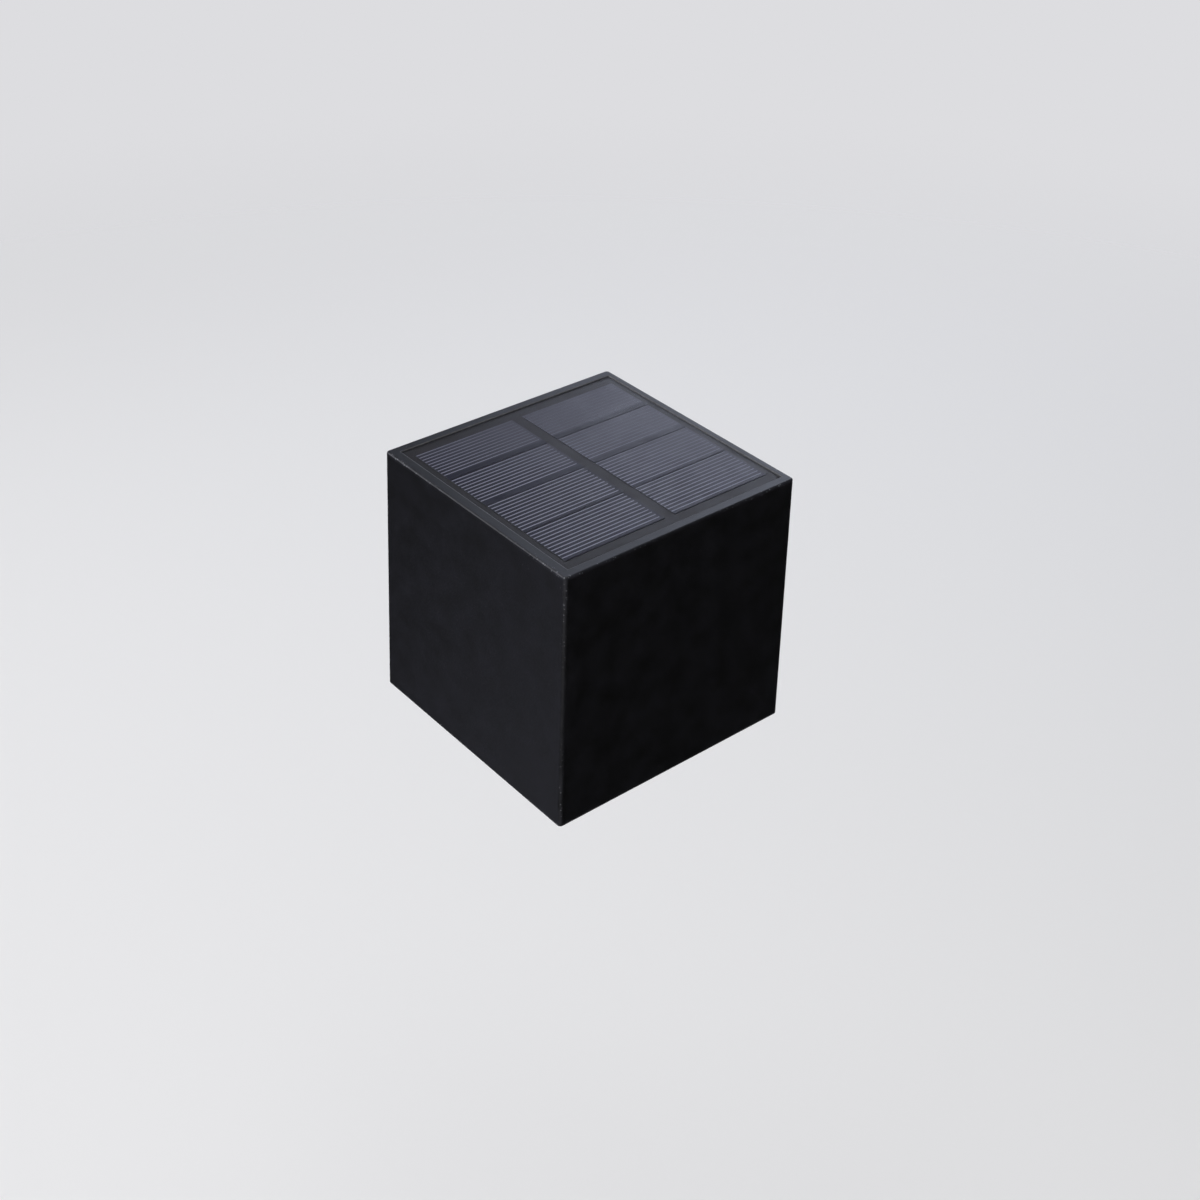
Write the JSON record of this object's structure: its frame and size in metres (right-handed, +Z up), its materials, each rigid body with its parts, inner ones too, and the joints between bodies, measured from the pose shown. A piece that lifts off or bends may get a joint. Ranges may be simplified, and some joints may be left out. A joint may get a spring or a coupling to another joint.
{
  "type": "solar wall light",
  "caption": "Cube-shaped solar wall light: near-black housing with a solar panel let into its top, opal downlight lens, battery door and push button below, hung on a wall bracket.",
  "frame": {"origin": "on the wall plane, midway between the wall bracket's two screw holes, at the cube's mid height", "axes": "+X to the right as one faces the lamp's front, +Y into the wall, +Z up"},
  "size_m": [0.1044, 0.103, 0.1],
  "materials": {
    "moulded_abs": "fine moulded texture, near black",
    "bracket_abs": "plain moulded, near black",
    "bay_abs": "plain moulded",
    "epoxy_resin": "clear cast resin with a satin skin",
    "silicon": "dark blue-black silicon with printed silver fingers",
    "panel_laminate": "dark laminate",
    "foam_tape": "black foam tape",
    "silicone_seal": "grey silicone rubber",
    "opal_acrylic": "opal white, satin",
    "white_polycarbonate": "bright white",
    "glass_epoxy_board": "white solder mask",
    "led_package": "phosphor yellow in a white cup",
    "chip_resin": "black moulded",
    "ferrite": "dark grey ferrite",
    "can_aluminium": "drawn can",
    "nylon_socket": "off-white nylon",
    "switch_nylon": "black nylon",
    "button_plastic": "dark grey satin",
    "battery_sleeve": "shrink sleeve",
    "nickel_strip": "nickel plated spring strip",
    "stainless_steel": "stainless steel",
    "lead_red": "PVC insulation",
    "lead_black": "PVC insulation"
  },
  "bodies": {
    "bracket": {"wall_bracket": "bracket_abs"},
    "lamp": {"housing": "moulded_abs", "base_plate": "moulded_abs", "battery_bay": "bay_abs", "panel_resin": "epoxy_resin", "solar_cells": "silicon", "panel_board": "panel_laminate", "panel_tape": "foam_tape", "base_seal": "silicone_seal", "diffuser_seal": "silicone_seal", "button_seal": "silicone_seal", "lead_grommet": "silicone_seal", "diffuser": "opal_acrylic", "reflector": "white_polycarbonate", "circuit_board": "glass_epoxy_board", "leds": "led_package", "driver_chip": "chip_resin", "inductor": "ferrite", "capacitor": "can_aluminium", "lead_sockets": "nylon_socket", "power_switch": "switch_nylon", "battery_cell": "battery_sleeve", "contact_negative": "nickel_strip", "contact_positive": "nickel_strip", "base_screws": "stainless_steel", "board_screws": "stainless_steel", "hinge_pin": "stainless_steel", "panel_lead_positive": "lead_red", "battery_lead_positive": "lead_red", "panel_lead_negative": "lead_black", "battery_lead_negative": "lead_black"},
    "battery_door": {"battery_door": "moulded_abs", "door_seal": "silicone_seal", "door_screw": "stainless_steel"},
    "power_button": {"power_button": "button_plastic", "switch_plunger": "switch_nylon"}
  },
  "joints": [
    {"name": "lamp_lift", "type": "slide", "parent": "bracket", "child": "lamp", "axis": [0, 0, 1], "range_m": [0, 0.08]},
    {"name": "battery_door_hinge", "type": "hinge", "parent": "lamp", "child": "battery_door", "pos_m": [-0.03484, -0.0245, -0.0454], "axis": [0, 1, 0], "range_deg": [0, 90]},
    {"name": "power_button_press", "type": "slide", "parent": "lamp", "child": "power_button", "axis": [0, 0, 1], "range_m": [0, 0.0015], "stiffness_N_per_m": 500, "springref_m": -0.0001}
  ]
}
